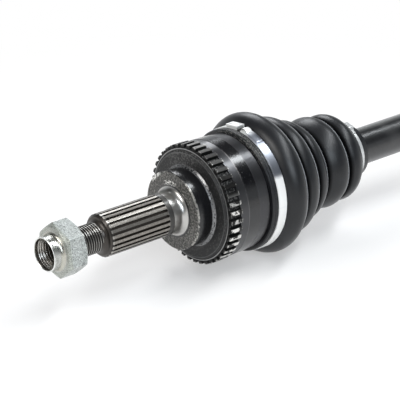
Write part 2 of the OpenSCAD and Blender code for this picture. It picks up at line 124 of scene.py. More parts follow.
wl.new(pick_glossy.outputs["Shader"], pick.inputs[1])
wl.new(seen.outputs["Background"], pick.inputs[2])
wl.new(pick.outputs["Shader"], world_out.inputs["Surface"])

# The floor: matte paper that takes the shadow near the part and glows white farther off.
floor_level = -0.0537
bpy.ops.mesh.primitive_plane_add(size=12, location=(0.2, 0, floor_level))
floor = bpy.context.object
floor.name = "studio_floor"
paper = bpy.data.materials.new("white_paper")
paper.use_nodes = True
pn = paper.node_tree.nodes
pl = paper.node_tree.links
pn.clear()
floor_out = pn.new("ShaderNodeOutputMaterial")
matte = pn.new("ShaderNodeBsdfDiffuse")
matte.inputs["Color"].default_value = (0.955, 0.935, 0.92, 1)
glow = pn.new("ShaderNodeEmission")
glow.inputs["Color"].default_value = (1, 1, 1, 1)
glow.inputs["Strength"].default_value = 1.0
lit = pn.new("ShaderNodeMixShader")
floor_path = pn.new("ShaderNodeLightPath")
strong = pn.new("ShaderNodeMath")
strong.operation = "MULTIPLY"
spot = pn.new("ShaderNodeTexCoord")
from_part = pn.new("ShaderNodeVectorMath")
from_part.operation = "DISTANCE"
from_part.inputs[1].default_value = (-0.17, -0.04, 0)
fade = pn.new("ShaderNodeMapRange")
fade.interpolation_type = "SMOOTHSTEP"
fade.inputs["From Min"].default_value = 0.16
fade.inputs["From Max"].default_value = 0.55
fade.inputs["To Min"].default_value = 0.38
pl.new(spot.outputs["Object"], from_part.inputs[0])
pl.new(from_part.outputs["Value"], fade.inputs["Value"])
pl.new(fade.outputs["Result"], strong.inputs[1])
seen_rays = floor_path.outputs["Is Camera Ray"]
for kind in ("Is Glossy Ray", "Is Transmission Ray"):
    either = pn.new("ShaderNodeMath")
    either.operation = "MAXIMUM"
    pl.new(seen_rays, either.inputs[0])
    pl.new(floor_path.outputs[kind], either.inputs[1])
    seen_rays = either.outputs["Value"]
pl.new(seen_rays, strong.inputs[0])
pl.new(strong.outputs["Value"], lit.inputs["Fac"])
pl.new(matte.outputs["BSDF"], lit.inputs[1])
pl.new(glow.outputs["Emission"], lit.inputs[2])
pl.new(lit.outputs["Shader"], floor_out.inputs["Surface"])
floor.data.materials.append(paper)

# Soft boxes: a long one overhead draws the streak along the boots and the bell, one from the
# left lifts the faces seen head on, one in front lights the near side, and one behind the top.
for name, place, aim, size, power, tint in (
    ("long_box", (0.42, -0.46, 1.15), (0.10, 0, 0.02), (1.7, 0.20), 15.0, (0.93, 0.97, 1.0)),
    ("left_box", (-1.05, 0.10, 0.75), (-0.02, 0, 0), (0.55, 0.55), 7.0, (1.0, 0.985, 0.96)),
    ("front_box", (-0.50, -1.35, 0.85), (0.08, 0, 0), (0.9, 0.7), 11.5, (0.84, 0.92, 1.0)),
    ("rear_box", (0.55, 0.95, 0.85), (0.2, 0, 0), (0.6, 0.6), 7.5, (0.95, 0.97, 1.0)),
):
    bpy.ops.object.light_add(type="AREA", location=place)
    lamp = bpy.context.object
    lamp.name = name
    lamp.data.shape = "RECTANGLE"
    lamp.data.size = size[0]
    lamp.data.size_y = size[1]
    lamp.data.energy = power
    lamp.data.color = tint
    lamp.rotation_euler = (Vector(aim) - Vector(place)).to_track_quat("-Z", "Y").to_euler()


# The bell and its stub: one steel forging, machined where it seats and left with its black
# coating elsewhere. It keeps the CAD's mesh, and its finish changes from band to band along
# the shaft and with the radius. Places are in millimetres, angles in degrees from +Y to +Z.
def grain_group():
    """A speckle and grime mask shared by the metal and rubber finishes."""
    group = bpy.data.node_groups.new("surface_grain", "ShaderNodeTree")
    sockets = group.interface
    for name in ("Fine", "Broad"):
        sockets.new_socket(name=name, in_out="INPUT", socket_type="NodeSocketFloat")
    for name in ("Speckle", "Patches", "Height"):
        sockets.new_socket(name=name, in_out="OUTPUT", socket_type="NodeSocketFloat")
    n, l = group.nodes, group.links
    given = n.new("NodeGroupInput")
    result = n.new("NodeGroupOutput")
    where = n.new("ShaderNodeTexCoord")
    fine = n.new("ShaderNodeTexNoise")
    fine.inputs["Detail"].default_value = 4
    fine.inputs["Roughness"].default_value = 0.7
    broad = n.new("ShaderNodeTexNoise")
    broad.inputs["Detail"].default_value = 6
    broad.inputs["Roughness"].default_value = 0.62
    for tex, socket in ((fine, "Fine"), (broad, "Broad")):
        l.new(where.outputs["Object"], tex.inputs["Vector"])
        l.new(given.outputs[socket], tex.inputs["Scale"])
    fine_spread = n.new("ShaderNodeMapRange")
    fine_spread.inputs["From Min"].default_value = 0.32
    fine_spread.inputs["From Max"].default_value = 0.68
    l.new(fine.outputs["Fac"], fine_spread.inputs["Value"])
    broad_spread = n.new("ShaderNodeMapRange")
    broad_spread.inputs["From Min"].default_value = 0.35
    broad_spread.inputs["From Max"].default_value = 0.65
    l.new(broad.outputs["Fac"], broad_spread.inputs["Value"])
    both = n.new("ShaderNodeMath")
    both.operation = "MULTIPLY_ADD"
    both.inputs[1].default_value = 0.35
    l.new(broad_spread.outputs["Result"], both.inputs[0])
    l.new(fine_spread.outputs["Result"], both.inputs[2])
    l.new(fine_spread.outputs["Result"], result.inputs["Speckle"])
    l.new(broad_spread.outputs["Result"], result.inputs["Patches"])
    l.new(both.outputs["Value"], result.inputs["Height"])
    return group


def place_group():
    """How far along the shaft, how far from its axis, and at what angle round it."""
    group = bpy.data.node_groups.new("place_on_shaft", "ShaderNodeTree")
    sockets = group.interface
    for name in ("Along", "Radius", "Angle"):
        sockets.new_socket(name=name, in_out="OUTPUT", socket_type="NodeSocketFloat")
    n, l = group.nodes, group.links
    result = n.new("NodeGroupOutput")
    where = n.new("ShaderNodeTexCoord")
    split = n.new("ShaderNodeSeparateXYZ")
    l.new(where.outputs["Object"], split.inputs["Vector"])
    flat = n.new("ShaderNodeCombineXYZ")
    l.new(split.outputs["Y"], flat.inputs["Y"])
    l.new(split.outputs["Z"], flat.inputs["Z"])
    long = n.new("ShaderNodeVectorMath")
    long.operation = "LENGTH"
    l.new(flat.outputs["Vector"], long.inputs[0])
    turn = n.new("ShaderNodeMath")
    turn.operation = "ARCTAN2"
    l.new(split.outputs["Z"], turn.inputs[0])
    l.new(split.outputs["Y"], turn.inputs[1])
    for out, source in (("Along", split.outputs["X"]), ("Radius", long.outputs["Value"])):
        mm = n.new("ShaderNodeMath")
        mm.operation = "MULTIPLY"
        mm.inputs[1].default_value = 1000
        l.new(source, mm.inputs[0])
        l.new(mm.outputs["Value"], result.inputs[out])
    degrees = n.new("ShaderNodeMath")
    degrees.operation = "MULTIPLY"
    degrees.inputs[1].default_value = 180 / math.pi
    l.new(turn.outputs["Value"], degrees.inputs[0])
    l.new(degrees.outputs["Value"], result.inputs["Angle"])
    return group


surface_grain = grain_group()
place_on_shaft = place_group()


class Finish:
    """A material whose colour, roughness and metal are painted in bands along the shaft."""

    def __init__(self, name, color, rough, metal, fine=900, broad=60, bump=0.15, depth=0.00015):
        self.material = bpy.data.materials.new(name)
        self.material.use_nodes = True
        self.material.diffuse_color = (*color, 1)
        self.n = self.material.node_tree.nodes
        self.l = self.material.node_tree.links
        self.shader = self.n["Principled BSDF"]
        self.grain = self.n.new("ShaderNodeGroup")
        self.grain.node_tree = surface_grain
        self.grain.inputs["Fine"].default_value = fine
        self.grain.inputs["Broad"].default_value = broad
        self.place = self.n.new("ShaderNodeGroup")
        self.place.node_tree = place_on_shaft
        self.color = color
        self.rough = rough
        self.metal = metal
        self.coat = 0.0
        self.height = self.grain.outputs["Height"]
        self.bump = bump
        self.depth = depth

    def feed(self, value, socket):
        """Links a varying value to a socket, or sets a plain one on it."""
        if isinstance(value, bpy.types.NodeSocket):
            self.l.new(value, socket)
        elif isinstance(value, tuple):
            socket.default_value = (*value, 1)
        else:
            socket.default_value = value

    def math(self, kind, a, b=None):
        """One sum, product or other operation on values, linked or plain."""
        node = self.n.new("ShaderNodeMath")
        node.operation = kind
        node.use_clamp = kind in ("MULTIPLY", "ADD")
        for i, v in enumerate((a, b)):
            if v is not None:
                self.feed(v, node.inputs[i])
        return node.outputs[0]

    def ramp(self, value, low, high, to_low=0.0, to_high=1.0):
        """Rises or falls evenly between low and high, and stays level outside."""
        node = self.n.new("ShaderNodeMapRange")
        node.inputs["From Min"].default_value = low
        node.inputs["From Max"].default_value = high
        node.inputs["To Min"].default_value = to_low
        node.inputs["To Max"].default_value = to_high
        self.l.new(value, node.inputs["Value"])
        return node.outputs["Result"]

    def band(self, low, high, soft=0.15, along="Along"):
        """1 between low and high millimetres, 0 elsewhere."""
        up = self.ramp(self.place.outputs[along], low - soft, low + soft)
        down = self.ramp(self.place.outputs[along], high - soft, high + soft, 1.0, 0.0)
        return self.math("MULTIPLY", up, down)

    def paint(self, mask, color=None, rough=None, metal=None, coat=None):
        """Lays another colour, roughness, metal or coat over the rest, where the mask says."""
        if color is not None:
            mix = self.n.new("ShaderNodeMix")
            mix.data_type = "RGBA"
            self.l.new(mask, mix.inputs["Factor"])
            self.feed(self.color, mix.inputs["A"])
            self.feed(color, mix.inputs["B"])
            self.color = mix.outputs["Result"]
        for which, value in (("rough", rough), ("metal", metal), ("coat", coat)):
            if value is not None:
                mix = self.n.new("ShaderNodeMix")
                self.l.new(mask, mix.inputs["Factor"])
                self.feed(getattr(self, which), mix.inputs["A"])
                self.feed(value, mix.inputs["B"])
                setattr(self, which, mix.outputs["Result"])

    def speckled(self, share, dark, light):
        """Varies the colour by the fine grain."""
        amount = self.ramp(self.grain.outputs["Speckle"], 0, 1, dark, light)
        broad = self.ramp(self.grain.outputs["Patches"], 0, 1, 1 - share, 1 + share)
        both = self.n.new("ShaderNodeMath")
        both.operation = "MULTIPLY"
        self.l.new(amount, both.inputs[0])
        self.l.new(broad, both.inputs[1])
        mix = self.n.new("ShaderNodeMix")
        mix.data_type = "RGBA"
        mix.blend_type = "MULTIPLY"
        mix.inputs["Factor"].default_value = 1
        tone = self.n.new("ShaderNodeCombineColor")
        for c in ("Red", "Green", "Blue"):
            self.l.new(both.outputs[0], tone.inputs[c])
        self.feed(self.color, mix.inputs["A"])
        self.l.new(tone.outputs["Color"], mix.inputs["B"])
        self.color = mix.outputs["Result"]

    def done(self):
        """Links what was painted to the shader, with the grain as its bump."""
        self.feed(self.color, self.shader.inputs["Base Color"])
        self.feed(self.rough, self.shader.inputs["Roughness"])
        self.feed(self.metal, self.shader.inputs["Metallic"])
        self.feed(self.coat, self.shader.inputs["Coat Weight"])
        bump = self.n.new("ShaderNodeBump")
        bump.inputs["Strength"].default_value = self.bump
        bump.inputs["Distance"].default_value = self.depth
        self.l.new(self.height, bump.inputs["Height"])
        self.l.new(bump.outputs["Normal"], self.shader.inputs["Normal"])


def dress(node, material):
    """Gives a finish to a piece that keeps the CAD's mesh."""
    piece = nodes[node]
    piece.data.materials.clear()
    piece.data.materials.append(material)


def and_where(finish, *masks):
    """The overlap of several masks."""
    whole = masks[0]
    for mask in masks[1:]:
        whole = finish.math("MULTIPLY", whole, mask)
    return whole


forging = Finish("black_coated_forging", (0.004, 0.004, 0.0048), 0.24, 0.0, 700, 45, 0.16)
forging.speckled(0.3, 0.6, 1.4)
forging.coat = 0.3
forging.shader.inputs["Coat Roughness"].default_value = 0.12
radius = forging.place.outputs["Radius"]
speckle = forging.grain.outputs["Speckle"]
patches = forging.grain.outputs["Patches"]
threaded = forging.band(-102, -71.4, 0.3)
forging.paint(threaded, (0.020, 0.018, 0.015), 0.5, 0.6)
relief = forging.band(-71.5, -65.9, 0.2)
forging.paint(relief, (0.060, 0.053, 0.047), 0.42, 0.9)
splined = forging.band(-65.7, -14.9, 0.1)
grooves = and_where(forging, splined, forging.ramp(radius, 15.5, 15.82, 1.0, 0.0))
forging.paint(grooves, (0.050, 0.041, 0.034), 0.50, 0.8)
crowns = and_where(forging, splined, forging.ramp(radius, 15.55, 15.82))
forging.paint(crowns, (0.25, 0.232, 0.208), 0.42, 1.0)
bright_crowns = and_where(forging, crowns, forging.ramp(speckle, 0.55, 0.8))
forging.paint(bright_crowns, (0.36, 0.34, 0.31), 0.36)
front_edge = and_where(forging, forging.band(-66.3, -65.3, 0.15),
                       forging.ramp(radius, 15.5, 15.65))
forging.paint(front_edge, (0.46, 0.44, 0.41), 0.34, 1.0)
# Near-black stripes painted on the plain land in line with the grooves: painted shade of groove
# run-outs that the mesh doesn't have.
groove_angle, half_pitch = 9.25, 7.5
past_groove = forging.math("SUBTRACT", forging.place.outputs["Angle"], groove_angle)
from_groove = forging.math("PINGPONG", past_groove, half_pitch)
painted_groove_shade = and_where(forging, forging.band(-67.4, -63.9, 0.1), forging.ramp(radius, 14.9, 15.1),
                    forging.ramp(from_groove, 3.3, 4.0, 1.0, 0.0))
forging.paint(painted_groove_shade, (0.022, 0.019, 0.016), 0.5, 0.6)
journal = forging.band(-14.8, -10.6, 0.15)
forging.paint(journal, (0.085, 0.082, 0.078), 0.48, 1.0)
fillet = forging.band(-10.7, -0.35, 0.15)
forging.paint(fillet, (0.52, 0.51, 0.49), 0.28, 1.0)
stained_fillet = and_where(forging, fillet, forging.ramp(patches, 0.7, 1.0))
forging.paint(stained_fillet, (0.16, 0.155, 0.145), 0.36)
disc_face = and_where(forging, forging.band(-0.5, 0.25, 0.1), forging.ramp(radius, 19.9, 20.3))
forging.paint(disc_face, (0.062, 0.060, 0.055), 0.60, 0.3)
pale_flecks = and_where(forging, disc_face, forging.ramp(speckle, 0.50, 0.95))
forging.paint(pale_flecks, (0.30, 0.285, 0.26), 0.45)
dark_flecks = and_where(forging, disc_face, forging.ramp(speckle, 0.42, 0.15))
forging.paint(dark_flecks, (0.016, 0.015, 0.014), 0.6)
rim = and_where(forging, forging.band(-0.6, 1.3, 0.1), forging.ramp(radius, 28.6, 28.9),
                forging.ramp(patches, 0.22, 0.38), forging.ramp(speckle, 0.30, 0.5))
forging.paint(rim, (0.44, 0.43, 0.40), 0.38, 0.9)
chipped = and_where(forging, forging.band(-0.5, 1.2, 0.2), forging.ramp(radius, 26.6, 27.6),
                    forging.band(36, 60, 3, "Angle"), forging.ramp(speckle, 0.38, 0.48))
forging.paint(chipped, (0.85, 0.84, 0.80), 0.40, 0.7)
dented = and_where(forging, forging.band(-1.2, 0.3, 0.1), forging.band(19.6, 23.0, 0.5, "Radius"),
                   forging.band(66, 98, 5, "Angle"), forging.ramp(speckle, 0.52, 0.62))
forging.paint(dented, (0.80, 0.79, 0.75), 0.40, 0.7)
# A pale speckled line painted round the neck's edge next to the flare: a painted highlight where
# the edge catches the light.
lit_neck_edge = and_where(forging, forging.band(13.3, 15.6, 0.1),
                      forging.band(28.9, 30.9, 0.15, "Radius"), forging.ramp(speckle, 0.30, 0.42))
forging.paint(lit_neck_edge, (0.22, 0.22, 0.222), 0.34, 0.8)
flare_face = and_where(forging, forging.band(15.1, 17.0, 0.1), forging.ramp(radius, 30.9, 31.2))
forging.paint(flare_face, (0.0030, 0.0030, 0.0032), 0.55, coat=0.0)
flare_flecks = and_where(forging, flare_face, forging.ramp(speckle, 0.62, 0.92))
forging.paint(flare_flecks, (0.060, 0.058, 0.056), 0.5)
# The top of the flare's face is painted paler in specks: dust, and a painted highlight on the top.
dust_and_top_highlight = and_where(forging, forging.band(15.1, 17.0, 0.1), forging.band(52, 104, 16, "Angle"),
                     forging.ramp(speckle, 0.40, 0.75))
forging.paint(dust_and_top_highlight, (0.095, 0.092, 0.088), 0.6)
shoulder = and_where(forging, forging.band(14, 17.2, 0.2),
                     forging.band(39.3, 39.7, 0.15, "Radius"))
forging.paint(shoulder, (0.10, 0.10, 0.10), 0.45, 0.3)
turned_by_ring = forging.band(28, 35.05, 0.1)
forging.paint(turned_by_ring, (0.060, 0.060, 0.063), 0.32, 0.85)
glossy_middle = forging.band(35.05, 45.4, 0.1)
forging.paint(glossy_middle, rough=0.16)
turned_by_boot = forging.band(45.4, 55.4, 0.1)
forging.paint(turned_by_boot, (0.050, 0.050, 0.053), 0.34, 0.85)
# Thin pale lines painted on the small steps between the bands: painted highlights on their edges.
for at in (28.2, 35.1, 45.3):
    painted_edge_highlight = forging.band(at - 0.08, at + 0.12, 0.06)
    forging.paint(painted_edge_highlight, (0.16, 0.16, 0.165), 0.25, 1.0)
scuffed = and_where(forging, forging.band(28, 55.4, 0.2), forging.ramp(speckle, 0.86, 0.96),
                    forging.ramp(patches, 0.6, 0.8))
forging.paint(scuffed, (0.16, 0.16, 0.155), 0.35, 0.9)
forging.done()
dress("outer_race", forging.material)


# The sensor ring: a toothed iron ring pressed on the bell, with painted shade, near-black, between
# its teeth, paler tips at the top, and a painted reflection of the white floor on the tips of the
# near side.
toothed = Finish("toothed_iron", (0.009, 0.0088, 0.0085), 0.42, 0.2, 800, 160, 0.35)
toothed.speckled(0.3, 0.5, 1.5)
toothed.shader.inputs["Specular IOR Level"].default_value = 0.25
far_out = toothed.place.outputs["Radius"]
flecks = toothed.grain.outputs["Speckle"]
blots = toothed.grain.outputs["Patches"]
tips = toothed.ramp(far_out, 45.1, 45.3)
toothed.paint(tips, (0.030, 0.029, 0.028), 0.34, 0.8)
top_tips = and_where(toothed, tips, toothed.band(40, 112, 10, "Angle"))
toothed.paint(top_tips, (0.15, 0.145, 0.14), 0.34)
# The tips on the lower, near side are painted near-white in patches: a painted reflection of the
# white floor.
low_side = toothed.math("ADD", toothed.band(160, 181, 7, "Angle"),
                        toothed.band(-181, -130, 7, "Angle"))
floor_reflection_tips = and_where(toothed, tips, low_side, toothed.ramp(blots, 0.42, 0.5))
toothed.paint(floor_reflection_tips, (0.80, 0.79, 0.76), 0.36, 1.0)
ends = toothed.math("ADD", toothed.band(16.5, 17.9, 0.1), toothed.band(27.4, 28.2, 0.1))
rims = and_where(toothed, ends, toothed.ramp(far_out, 44.4, 45.0),
                 toothed.ramp(flecks, 0.46, 0.56))
toothed.paint(rims, (0.48, 0.47, 0.45), 0.34, 0.9)
# Between the teeth the iron is painted near-black and without metal: painted shade in the gaps.
shaded_gaps = and_where(toothed, toothed.band(17.9, 29, 0.1), toothed.ramp(far_out, 45.0, 44.4))
toothed.paint(shaded_gaps, (0.0015, 0.0015, 0.0015), 0.6, 0.0)
roots = and_where(toothed, toothed.band(17.9, 27.8, 0.1), toothed.ramp(far_out, 42.8, 42.5),
                  toothed.ramp(flecks, 0.58, 0.68))
toothed.paint(roots, (0.20, 0.195, 0.19), 0.34, 0.9)
inner_line = and_where(toothed, toothed.band(16.5, 17.2, 0.1),
                       toothed.band(41.7, 42.3, 0.2, "Radius"))
toothed.paint(inner_line, (0.34, 0.338, 0.335), 0.38, 0.7)
toothed.done()
dress("abs_ring", toothed.material)

# The neck behind the disc: a thin turned sleeve that fills the shallow arc of the CAD's neck,
# because the photograph shows it nearly straight. It has the forging's finish.
def turned(name, outline, sides=128):
    """Draws a ring of vertices and extrudes it along a closed outline, as on a lathe."""
    bpy.ops.object.select_all(action="DESELECT")
    x, r = outline[0]
    bpy.ops.mesh.primitive_circle_add(
        vertices=sides, radius=r / 1000, location=(x / 1000, 0, 0), rotation=(0, math.pi / 2, 0)
    )
    piece = bpy.context.object
    piece.name = name
    bpy.ops.object.transform_apply(location=True, rotation=True, scale=True)
    bpy.ops.object.mode_set(mode="EDIT")
    bpy.ops.mesh.select_all(action="SELECT")
    for (x0, r0), (x1, r1) in zip(outline, outline[1:]):
        bpy.ops.mesh.extrude_edges_move(TRANSFORM_OT_translate={"value": ((x1 - x0) / 1000, 0, 0)})
        bpy.ops.transform.resize(value=(1, r1 / r0, r1 / r0), center_override=(x1 / 1000, 0, 0))
    bpy.ops.mesh.select_all(action="SELECT")
    bpy.ops.mesh.remove_doubles(threshold=0.000002)
    bpy.ops.mesh.select_all(action="SELECT")
    bpy.ops.mesh.normals_make_consistent(inside=False)
    bpy.ops.object.mode_set(mode="OBJECT")
    bpy.ops.object.shade_smooth_by_angle(angle=math.radians(28))
    return piece


neck_skin = turned("neck_skin", [(3.5, 29.45), (4.5, 29.5), (7, 29.25), (10, 28.95), (13.8, 28.8),
                                 (13.8, 26.5), (3.5, 26.5), (3.5, 29.45)], sides=160)
neck_skin.data.materials.append(forging.material)
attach(neck_skin, "bell")


# The thread on the stub's end: a rolled ridge, two millimetres from crest to crest, wound
# round the stub as one spring and worn bright along its crest.
def place_corners(piece, points):
    """Puts each corner of a flat sheet where the maker's sketch has it, in millimetres."""
    for corner, point in zip(piece.data.vertices, points):
        corner.co = [c / 1000 for c in point]


thread_turns, thread_pitch, steps_per_turn = 14.5, 0.002, 64
bpy.ops.object.select_all(action="DESELECT")
bpy.ops.mesh.primitive_circle_add(vertices=4, radius=0.001, fill_type="NGON")
thread = bpy.context.object
thread.name = "stub_thread"
place_corners(thread, [(-100.9, 10.2, 0), (-100.15, 11.0, 0), (-99.85, 11.0, 0), (-99.1, 10.2, 0)])
wind = thread.modifiers.new("wind", "SCREW")
wind.axis = "X"
wind.angle = 2 * math.pi * thread_turns
wind.screw_offset = thread_pitch * thread_turns
wind.steps = wind.render_steps = int(steps_per_turn * thread_turns)
wind.use_normal_calculate = True
bpy.ops.object.modifier_apply(modifier="wind")
bpy.ops.object.mode_set(mode="EDIT")
bpy.ops.mesh.select_all(action="SELECT")
bpy.ops.mesh.normals_make_consistent(inside=False)
bpy.ops.object.mode_set(mode="OBJECT")
bpy.ops.object.shade_smooth_by_angle(angle=math.radians(28))
rolled = Finish("rolled_thread", (0.016, 0.014, 0.012), 0.5, 0.6, 1300, 90, 0.2)
rolled.speckled(0.2, 0.75, 1.2)
thread_crest = rolled.ramp(rolled.place.outputs["Radius"], 10.8, 10.98)
rolled.paint(thread_crest, (0.36, 0.35, 0.33), 0.28, 1.0)
rolled.done()
thread.data.materials.append(rolled.material)
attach(thread, "bell")

# The hub nut: a plated steel hexagon cut from bar, chamfered on both faces, with a thin collar
# turned on its outer end, whose rim is staked into the stub once it is tight.
def joined(name, pieces):
    """Makes one piece of several."""
    bpy.ops.object.select_all(action="DESELECT")
    for piece in pieces:
        piece.select_set(True)
    bpy.context.view_layer.objects.active = pieces[0]
    bpy.ops.object.join()
    pieces[0].name = name
    return pieces[0]


nut_back, nut_front, nut_end = -90.0, -106.0, -114.5
nut_flats, collar_out, foot_size, nut_turn = 36.0, 12.6, 2.8, 19
nut_corners = nut_flats / 2 / math.cos(math.pi / 6)
hexagon = turned("hub_nut_body", [(nut_front, 3), (nut_front, nut_corners),
                                  (nut_back, nut_corners), (nut_back, 3), (nut_front, 3)], sides=6)
hexagon.rotation_euler = (math.radians(nut_turn), 0, 0)
bpy.ops.object.transform_apply(rotation=True)
edge = hexagon.modifiers.new("edge", "BEVEL")
edge.width = 0.0005
edge.segments = 3
edge.angle_limit = math.radians(40)
bpy.ops.object.modifier_apply(modifier="edge")
blank = turned("hub_nut_blank", [(nut_front, 11.3), (nut_front, 17.2), (nut_front + 0.25, 17.5),
                                 (nut_front + 2.6, 21.5), (nut_back - 2.6, 21.5),
                                 (nut_back - 0.25, 17.5), (nut_back, 17.2), (nut_back, 11.05),
                                 (nut_front + 5.2, 11.05), (nut_front, 11.3)], sides=160)
bpy.ops.object.select_all(action="DESELECT")
hexagon.select_set(True)
bpy.context.view_layer.objects.active = hexagon
cut = hexagon.modifiers.new("cut", "BOOLEAN")
cut.operation = "INTERSECT"
cut.object = blank
bpy.ops.object.modifier_apply(modifier="cut")
bpy.data.objects.remove(blank)
foot = [(nut_front - foot_size + foot_size * math.cos(a),
         collar_out + foot_size + foot_size * math.sin(a))
        for a in [-math.pi / 2 * k / 8 for k in range(9)]]
bore = []
for k in range(5):
    at = nut_front - 5.0 + 2 * k
    bore += [(at, 11.08), (at + 0.9, 11.6), (at + 1.1, 11.6)]
collar = turned("hub_nut_collar",
                [(nut_front + 1.5, 15.2)] + foot
                + [(nut_end + 1.3, 12.6), (nut_end + 0.9, 12.75), (nut_end + 0.35, 12.7),
                   (nut_end, 12.35), (nut_end + 0.05, 11.95), (nut_end + 0.5, 11.55),
                   (nut_front - 5.6, 11.45)]
                + bore
                + [(nut_front + 5.0, 11.08), (nut_front + 5.0, 12.2), (nut_front + 1.5, 15.2)],
                sides=160)
hexagon = joined("hub_nut_detailed", [hexagon, collar])
bpy.ops.object.shade_smooth_by_angle(angle=math.radians(28))
zinc = Finish("plated_zinc", (0.47, 0.49, 0.47), 0.46, 0.5, 1150, 90, 0.34)
from_axis = zinc.place.outputs["Radius"]
face_chamfer = and_where(zinc, zinc.band(-106.15, -103.6, 0.2), zinc.ramp(from_axis, 15.0, 15.6))
zinc.paint(face_chamfer, (0.42, 0.44, 0.40), 0.38, 0.6)
zinc.speckled(0.10, 0.22, 1.56)
collar_side = and_where(zinc, zinc.band(-114.2, -108.6, 0.2), zinc.ramp(from_axis, 13.5, 13.2))
zinc.paint(collar_side, (0.60, 0.60, 0.58), 0.16, 1.0)
collar_foot = zinc.band(-108.8, -106.15, 0.2)
zinc.paint(collar_foot, (0.52, 0.51, 0.45), 0.22, 1.0)
nut_bore = zinc.ramp(from_axis, 11.75, 11.6)
zinc.paint(nut_bore, (0.46, 0.44, 0.41), 0.24, 1.0)
# The collar's rim is painted near-white and less metallic all round: a painted reflection of the
# white floor along its edge.
rim_reflection = zinc.band(-114.8, -114.3, 0.08)
zinc.paint(rim_reflection, (0.90, 0.90, 0.87), 0.3, 0.35)
zinc.done()
hexagon.data.materials.append(zinc.material)
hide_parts("hub_nut")
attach(hexagon, "nut")

# The bar: a steel shaft under semi-gloss black paint, a little uneven, with a paler band
# painted along its top: a painted reflection.
bar = Finish("bar_paint", (0.009, 0.009, 0.010), 0.32, 0.0, 500, 40, 0.08)
bar.speckled(0.3, 0.6, 1.4)
bar.coat = 0.6
bar.shader.inputs["Coat Roughness"].default_value = 0.24
thin_paint = bar.ramp(bar.grain.outputs["Patches"], 0.6, 1.0)
bar.paint(thin_paint, (0.020, 0.020, 0.020), 0.42)
# A paler band painted along the top: a painted reflection of the white surroundings.
painted_top_sheen = bar.band(40, 84, 22, "Angle")
bar.paint(painted_top_sheen, (0.26, 0.26, 0.25), 0.5)
bar.done()
dress("shaft_bar", bar.material)

# The moving steel inside both joints: ground races, cage, spider and rollers, polished balls
# and needles, and springs of dark steel that hold them.
ground = Finish("ground_steel", (0.36, 0.36, 0.36), 0.30, 1.0, 1200, 70, 0.12)
ground.speckled(0.1, 0.85, 1.15)
ground.done()
polished = Finish("polished_steel", (0.62, 0.62, 0.63), 0.14, 1.0, 600, 50, 0.04)
polished.speckled(0.05, 0.95, 1.05)
polished.done()
spring = Finish("dark_spring_steel", (0.10, 0.10, 0.105), 0.35, 0.9, 1100, 70, 0.12)
spring.speckled(0.15, 0.8, 1.2)
spring.done()
for name in ("outer_cage", "outer_inner_race", "tripod_spider",
             "roller_1", "roller_2", "roller_3"):
    dress(name, ground.material)
for number in range(1, 7):
    dress("ball_%d" % number, polished.material)
for name in ("outer_circlip", "spider_circlip", "stub_circlip", "housing_stop_ring"):
    dress(name, spring.material)
for number in range(1, 4):
    dress("roller_needles_%d" % number, polished.material)
    dress("roller_retainer_%d" % number, spring.material)

# The tripod housing: a black coated forging of three lobes, with a ground seat for the oil
# seal and a bare spline on its stub.
housing = Finish("black_coated_housing", (0.014, 0.014, 0.016), 0.36, 0.0, 700, 45, 0.25)
housing.speckled(0.25, 0.75, 1.25)
housing.coat = 0.25
housing.shader.inputs["Coat Roughness"].default_value = 0.2
seal_seat = housing.band(496.6, 508.6, 0.1)
housing.paint(seal_seat, (0.45, 0.45, 0.45), 0.16, 1.0)
bare_stub = housing.band(509.4, 547, 0.3)
housing.paint(bare_stub, (0.32, 0.32, 0.31), 0.32, 1.0)
housing.done()
dress("tripod_housing", housing.material)

# The adaptor: a moulded bushing, dull black, that makes the three-lobed housing round where
# its boot sits.
moulded = Finish("moulded_bushing", (0.02, 0.02, 0.021), 0.55, 0.0, 600, 50, 0.2)
moulded.speckled(0.15, 0.85, 1.15)
moulded.done()
dress("inner_boot_adaptor", moulded.material)


# The wheel-side boot: moulded rubber, five folds with a sharp mould line on each crest, held
# on the bell by a wide band and on the bar by a narrow one.
def fold(a, b, crest, steps=16):
    """Half an ellipse from one valley to the next, whose top is the crest."""
    (ax, ar), (bx, br), (cx, cr) = a, b, crest
    mx, mr = (ax + bx) / 2, (ar + br) / 2
    points = []
    for i in range(steps + 1):
        turn = math.pi * i / steps
        points.append((mx - (bx - ax) / 2 * math.cos(turn) + (cx - mx) * math.sin(turn),
                       mr - (br - ar) / 2 * math.cos(turn) + (cr - mr) * math.sin(turn)))
    return points


def fold_inside(a, b, crest, wall=2.0):
    """The same fold from inside the wall."""
    (ax, ar), (bx, br), (cx, cr) = a, b, crest
    span = math.hypot(bx - ax, br - ar)
    dx, dr = (bx - ax) / span, (br - ar) / span
    return fold((ax + (dx + dr) * wall, ar + (dr - dx) * wall),
                (bx - (dx - dr) * wall, br - (dr + dx) * wall),
                (cx + dr * wall, cr - dx * wall))


def open_fold(a, b, crest, from_valley=True, to_valley=True):
    """A fold whose ends stop short of each other, so that each valley has a narrow floor."""
    if from_valley:
        a = (a[0] + 1.3, a[1] - 0.5)
    if to_valley:
        b = (b[0] - 0.5, b[1] - 0.7)
    return fold(a, b, crest)


def mould_line(points, rise=0.3):
    """Lifts a thin sharp ridge on the shoulder of a fold, where its back flank turns steep."""
    i = max(range(len(points)), key=lambda k: points[k][1] + 1.35 * points[k][0])
    x, r = points[i]
    return points[:i] + [(x - 0.4, r - 0.02), (x, r + rise),
                         (x + 0.35, r + rise * 0.9), (x + 0.6, r - 0.15)] + points[i + 1:]


def boot_point(along, share):
    """A point of the boot, by its place along the folds and its share of the seats' step."""
    return (folds_start + along * (folds_end - folds_start),
            small_seat + share * (wide_seat - small_seat))


